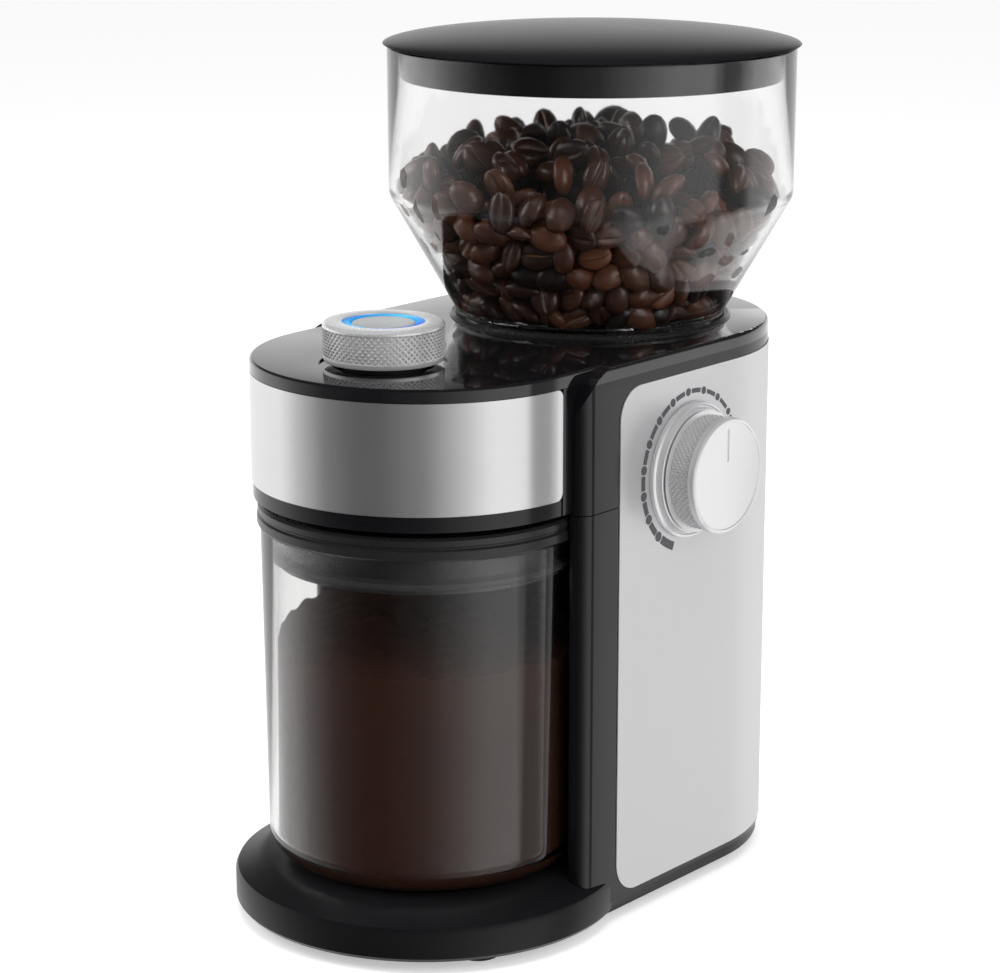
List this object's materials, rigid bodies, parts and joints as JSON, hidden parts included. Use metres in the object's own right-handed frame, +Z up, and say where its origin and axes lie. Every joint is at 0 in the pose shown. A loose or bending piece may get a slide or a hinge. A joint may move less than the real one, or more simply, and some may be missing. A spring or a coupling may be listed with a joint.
{
  "type": "burr coffee grinder",
  "caption": "Electric burr coffee grinder with a clear lidded bean hopper, a side grind dial, a top cup selector with start button and a pull-out clear grounds bin.",
  "frame": {"origin": "on the table plane, under the burr spindle and the axis of the hopper", "axes": "+Z up, -Y towards the front with the grounds bin, +X towards the side with the grind dial"},
  "size_m": [0.1374, 0.2073, 0.2668],
  "materials": {
    "acetal": "moulded",
    "alloy_black": "die cast",
    "black_rubber": "matte",
    "board_green": "solder mask",
    "bronze": "sintered",
    "burr_steel": "ground",
    "button_grey": "satin",
    "carbon": "carbon",
    "clear_plastic": "clear",
    "copper": "copper",
    "core_steel": "laminated",
    "deck_black": "high gloss",
    "ferrite": "dull",
    "knob_silver": "knurled satin",
    "part_black": "moulded",
    "pinion_brass": "turned",
    "ring_light": "translucent",
    "satin_black": "satin",
    "shaft_steel": "turned",
    "shell_black": "gloss",
    "silver_panel": "satin",
    "spring_steel": "bright",
    "steel_band": "brushed",
    "zinc": "zinc"
  },
  "bodies": {
    "housing": {"base_tray": "satin_black", "rubber_feet": "black_rubber", "lower_shell": "shell_black", "upper_shell": "shell_black", "top_deck": "deck_black", "front_band": "steel_band", "right_side_panel": "silver_panel", "left_side_panel": "silver_panel", "rear_cover": "satin_black", "cord_gland": "black_rubber", "hopper_collar": "satin_black", "selector_post": "part_black", "light_ring": "ring_light", "button_switch": "part_black", "display_board": "board_green", "selector_encoder": "part_black", "dial_bezel": "knob_silver", "rack_guide": "part_black", "dial_detent": "spring_steel", "intermediate_axle": "shaft_steel", "motor_can": "zinc", "motor_end_bell": "zinc", "motor_magnets": "ferrite", "carbon_brushes": "carbon", "gearbox_base": "part_black", "gearbox_cover": "part_black", "spindle_bearings": "bronze", "grinding_chamber": "part_black", "grounds_chute": "part_black", "control_board": "board_green", "hopper_switch": "part_black", "bin_switch": "part_black", "base_screws": "zinc", "gearbox_screws": "zinc"},
    "hopper": {"hopper": "clear_plastic"},
    "lid": {"hopper_lid": "satin_black"},
    "selector": {"cup_selector_knob": "knob_silver"},
    "button": {"start_button": "button_grey", "button_spring": "spring_steel"},
    "dial": {"grind_dial_knob": "knob_silver", "dial_shaft": "shaft_steel"},
    "rack": {"adjust_rack": "acetal"},
    "adjuster": {"adjusting_ring": "acetal"},
    "upper_mill": {"upper_burr_carrier": "part_black", "upper_burr": "burr_steel", "burr_screws": "zinc"},
    "lower_mill": {"lower_burr": "burr_steel", "burr_impeller": "alloy_black", "burr_spindle": "shaft_steel", "spindle_nut": "burr_steel", "output_gear": "acetal"},
    "idler": {"intermediate_gear": "acetal"},
    "rotor": {"motor_pinion": "pinion_brass", "motor_shaft": "shaft_steel", "rotor_core": "core_steel", "commutator": "copper", "cooling_fan": "part_black"},
    "bin": {"grounds_bin": "clear_plastic", "bin_lid": "satin_black", "bin_seal": "black_rubber"}
  },
  "joints": [
    {"name": "hopper_lift", "type": "slide", "parent": "housing", "child": "hopper", "axis": [0, 0, 1], "range_m": [0, 0.12]},
    {"name": "hopper_lid_lift", "type": "slide", "parent": "hopper", "child": "lid", "axis": [0, 0, 1], "range_m": [0, 0.05]},
    {"name": "cup_selector_turn", "type": "hinge", "parent": "housing", "child": "selector", "pos_m": [0, -0.1, 0.176], "axis": [0, 0, 1], "range_deg": [-135, 135]},
    {"name": "start_button_press", "type": "slide", "parent": "housing", "child": "button", "axis": [0, 0, -1], "range_m": [0, 0.0012], "stiffness_N_per_m": 600, "springref_m": -0.002, "deforming": ["button_spring"]},
    {"name": "grind_dial_turn", "type": "hinge", "parent": "housing", "child": "dial", "pos_m": [0, -0.0235, 0.1372], "axis": [1, 0, 0], "range_deg": [-148, 138]},
    {"name": "adjust_rack_slide", "type": "slide", "parent": "housing", "child": "rack", "axis": [0, -1, 0], "range_m": [-0.0156, 0.0146]},
    {"name": "adjusting_ring_turn", "type": "hinge", "parent": "housing", "child": "adjuster", "pos_m": [0, 0, 0.15], "axis": [0, 0, 1], "range_deg": [-22, 23.6]},
    {"name": "upper_burr_lift", "type": "slide", "parent": "housing", "child": "upper_mill", "axis": [0, 0, 1], "range_m": [-0.00047, 0.00044]},
    {"name": "motor_spin", "type": "hinge", "parent": "housing", "child": "rotor", "pos_m": [0, 0.026, 0.06], "axis": [0, 0, 1], "continuous": true},
    {"name": "intermediate_gear_spin", "type": "hinge", "parent": "housing", "child": "idler", "pos_m": [-0.02225, 0.017, 0.11], "axis": [0, 0, 1], "continuous": true},
    {"name": "burr_spin", "type": "hinge", "parent": "housing", "child": "lower_mill", "pos_m": [0, 0, 0.12], "axis": [0, 0, 1], "continuous": true},
    {"name": "bin_pull", "type": "slide", "parent": "housing", "child": "bin", "axis": [0, -1, 0], "range_m": [0, 0.16]}
  ],
  "couplings": [
    {"joint": "adjust_rack_slide", "follows": "grind_dial_turn", "m_per_rad": 0.006},
    {"joint": "adjusting_ring_turn", "follows": "grind_dial_turn", "ratio": -0.15789},
    {"joint": "upper_burr_lift", "follows": "grind_dial_turn", "m_per_rad": 0.00018},
    {"joint": "intermediate_gear_spin", "follows": "motor_spin", "ratio": -0.33333},
    {"joint": "burr_spin", "follows": "motor_spin", "ratio": 0.11111}
  ]
}
